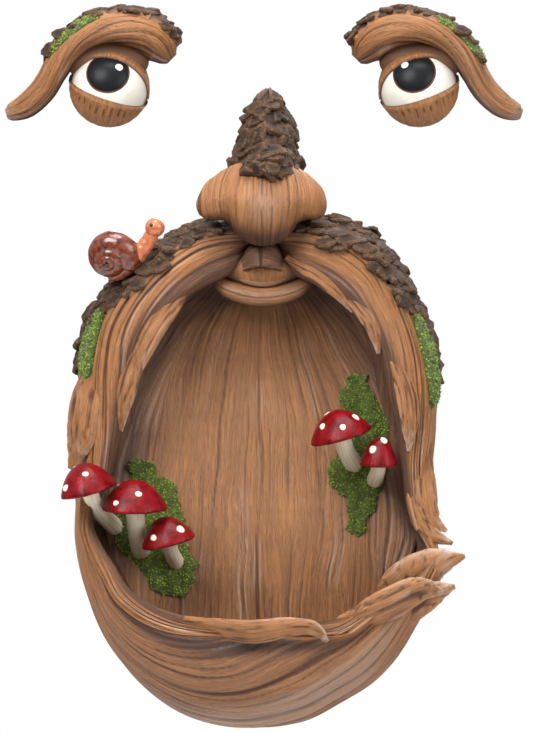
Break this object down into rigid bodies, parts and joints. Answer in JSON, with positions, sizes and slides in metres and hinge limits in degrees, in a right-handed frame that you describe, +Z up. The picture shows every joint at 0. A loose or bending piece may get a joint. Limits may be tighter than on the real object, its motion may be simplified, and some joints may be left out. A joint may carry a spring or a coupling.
{
  "type": "tree face bird feeder",
  "caption": "Tree face hung as separate castings: eyes under shaggy brows, a nose and moustache over an open mouth, and a beard that is a bowl for bird seed, with toadstools, moss and a snail",
  "frame": {"origin": "on the flat back of the mouth casting, on its middle line and below its hanging hole", "axes": "+X to the viewer's right, +Y into the trunk, +Z up; the face looks along -Y"},
  "size_m": [0.2617, 0.1056, 0.3663],
  "materials": {
    "painted_resin": "painted wood tones with a dark wash, slightly satin",
    "moss": "green flock",
    "toadstool_paint": "gloss red caps with white dots on cream stems",
    "snail_glaze": "gloss red-brown shell on an orange body"
  },
  "bodies": {
    "root": {"mouth_bowl": "painted_resin", "left_eye": "painted_resin", "right_eye": "painted_resin", "toadstool_left_outer": "toadstool_paint", "toadstool_left_middle": "toadstool_paint", "toadstool_left_inner": "toadstool_paint", "toadstool_right_large": "toadstool_paint", "toadstool_right_small": "toadstool_paint", "snail": "snail_glaze", "moss_left_hollow": "moss", "moss_right_hollow": "moss", "moss_left_arch": "moss", "moss_right_arch": "moss", "moss_left_brow": "moss", "moss_right_brow": "moss"}
  },
  "joints": []
}
